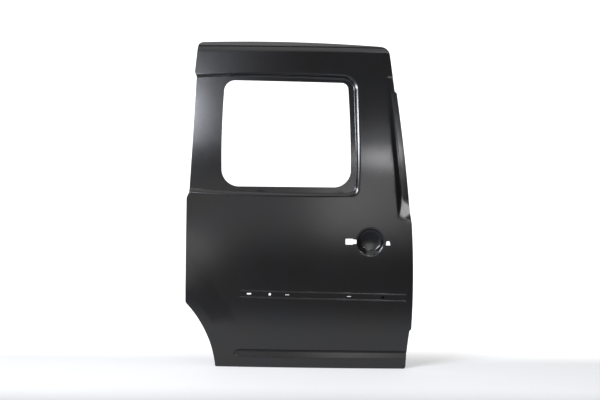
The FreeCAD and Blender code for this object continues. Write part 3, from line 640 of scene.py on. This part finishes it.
for start in range(0, len(strip_points) - ring, ring):
    for k in range(ring):
        after = (k + 1) % ring
        strip_faces.append((start + k, start + ring + k, start + ring + after, start + after))
strip_mesh = bpy.data.meshes.new("edge_strip")
strip_mesh.from_pydata(strip_points.tolist(), [], strip_faces)
strip_mesh.shade_smooth()
strip_mesh.set_sharp_from_angle(angle=math.radians(30.0))
strip_mesh.materials.append(skin_coat)
edge_strip = bpy.data.objects.new("edge_strip", strip_mesh)
bpy.context.collection.objects.link(edge_strip)
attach(edge_strip, "root")
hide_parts("front_edge_strip")


# Anti-flutter pads: blobs of dark mastic between the skin and the beam that stop it drumming.
# Pumped on soft and baked with the coat, so they are dull and a little rough.
mastic = electrocoat("mastic", (0.045, 0.044, 0.042), 0.82, 0.8, 0.4)
dressed(["anti_flutter_pads"], mastic)


# Studio: a pale paper sweep under and far behind the door, a strong soft box high on the left, small ones
# on the right, broad weak ones low in front and three above. The paper glows, which is painted light: it is
# brightest behind the door and darker towards the lights, where the lower half of the skin mirrors it, and
# its colour and glow fade high up the wall, a painted shade for what the top of the skin mirrors.
FLOOR = -0.545
BEND_START, BEND_RADIUS, WALL_TOP = 4.6, 1.2, 9.0
profile = [(-7.0, 0.0), (BEND_START, 0.0)]
for angle in np.linspace(0.1, math.pi / 2, 12):
    profile.append((BEND_START + BEND_RADIUS * math.sin(angle), BEND_RADIUS * (1 - math.cos(angle))))
profile.append((BEND_START + BEND_RADIUS, WALL_TOP))
sweep_mesh = bpy.data.meshes.new("studio_sweep")
sweep_points = [(x, y, FLOOR + z) for y, z in profile for x in (-8.0, 8.0)]
sweep_faces = [(k, k + 1, k + 3, k + 2) for k in range(0, len(sweep_points) - 2, 2)]
sweep_mesh.from_pydata(sweep_points, [], sweep_faces)
sweep_mesh.shade_smooth()
sweep = bpy.data.objects.new("studio_sweep", sweep_mesh)
bpy.context.collection.objects.link(sweep)
paper = bpy.data.materials.new("studio_paper")
paper.use_nodes = True
paper_shader = paper.node_tree.nodes["Principled BSDF"]
paper_film = Film(paper.node_tree)
paper_place = paper_film.node("TexCoord", {}, {}, "Object")
along = paper_film.node("SeparateXYZ", {}, {"Vector": paper_place}, "Y")
above = paper_film.node("SeparateXYZ", {}, {"Vector": paper_place}, "Z")


def smooth_change(value, start, end, first=0.0, last=1.0):
    """Goes smoothly from first to last while a value goes from start to end."""
    inputs = {"Value": value, "From Min": start, "From Max": end, "To Min": first, "To Max": last}
    return paper_film.node("MapRange", {"interpolation_type": "SMOOTHSTEP"}, inputs)


near = smooth_change(along, -1.2, -0.4)
behind = smooth_change(along, 0.05, 0.6)
fade = smooth_change(above, 1.7, 3.3, 1.0, 0.45)
fibre = paper_film.node("TexNoise", {}, {"Scale": 60.0, "Detail": 4.0})
# painted shade: the paper's colour is darker towards the lights and high up the wall
shade = near * fade * 0.42 + 0.07 + fibre * 0.03
# painted light: the paper glows, most behind the door, less towards the lights and high up
paper_painted_glow = (near * 0.95 + behind * 1.4) * fade + 0.02
paper.node_tree.links.new(shade.socket, paper_shader.inputs["Base Color"])
paper.node_tree.links.new(paper_painted_glow.socket, paper_shader.inputs["Emission Color"])
paper_shader.inputs["Roughness"].default_value = 0.9
paper_shader.inputs["Emission Strength"].default_value = 0.42
sweep_mesh.materials.append(paper)

scene = bpy.context.scene
world = bpy.data.worlds.new("studio_room")
scene.world = world
world.use_nodes = True
room = world.node_tree.nodes["Background"]
room.inputs["Color"].default_value = (0.030, 0.030, 0.031, 1)
room.inputs["Strength"].default_value = 1.0
scene.view_settings.view_transform = "Standard"


def soft_box(name, azimuth, height, distance, width, depth, roll, power, tint=(1.0, 1.0, 1.0)):
    """An area light that faces the middle of the door; azimuth and height are degrees from in front."""
    light = bpy.data.lights.new(name, "AREA")
    light.shape = "RECTANGLE"
    light.size, light.size_y = width, depth
    light.energy = power
    light.color = tint
    lamp = bpy.data.objects.new(name, light)
    bpy.context.collection.objects.link(lamp)
    middle = Vector((0.33, -0.09, 0.2))
    round_by, up_by = math.radians(azimuth), math.radians(height)
    level_share = math.cos(up_by)
    away = Vector((math.sin(round_by) * level_share, -math.cos(round_by) * level_share, math.sin(up_by)))
    lamp.location = middle + away * distance
    facing = away.to_track_quat("Z", "Y").to_matrix().to_4x4()
    lamp.rotation_euler = (facing @ Matrix.Rotation(math.radians(roll), 4, "Z")).to_euler()


soft_box("left_box", -38.8, 26.8, 4.0, 2.14, 0.44, 27.0, 192.0, (0.94, 0.98, 1.07))
soft_box("right_box", 15.0, 22.0, 4.0, 0.51, 0.43, -22.0, 12.5, (0.98, 0.99, 1.02))
soft_box("low_wide_box", -4.4, 7.3, 4.0, 2.43, 1.2, 7.0, 7.0, (1.03, 1.0, 0.98))
soft_box("low_box", 12.0, 6.9, 4.0, 1.27, 1.05, 2.0, 8.8, (1.02, 1.0, 0.99))
soft_box("far_right_box", 33.4, 19.6, 4.0, 0.33, 0.32, 0.0, 14.0)
soft_box("header_box", -24.5, 48.0, 4.0, 1.6, 1.5, -4.0, 3.3)
soft_box("high_box", 34.0, 57.0, 4.0, 0.9, 0.4, 0.0, 6.0)
soft_box("low_left_card", -22.0, -4.0, 4.0, 1.0, 0.5, 0.0, 4.5)
soft_box("top_box", 0.0, 80.0, 2.6, 3.0, 2.0, 0.0, 21.0)


# Camera: 3.6 m in front of the skin, where a pixel of the 600-pixel picture covers 3.8 mm of it,
# and turned a little about its own axis.
EYE_DISTANCE = 3600.0
PIXEL = 3.8
SENSOR = 36.0
camera_data = bpy.data.cameras.new("camera")
camera_data.sensor_width = SENSOR
camera_data.lens = SENSOR / (600 * PIXEL / EYE_DISTANCE)
camera = bpy.data.objects.new("camera", camera_data)
bpy.context.collection.objects.link(camera)
tilt = math.radians(0.8)
camera.matrix_world = Matrix((
    (math.cos(tilt), -math.sin(tilt), 0, 0.330),
    (0, 0, -1, -3.691),
    (math.sin(tilt), math.cos(tilt), 0, 0.097),
    (0, 0, 0, 1)))
scene.camera = camera
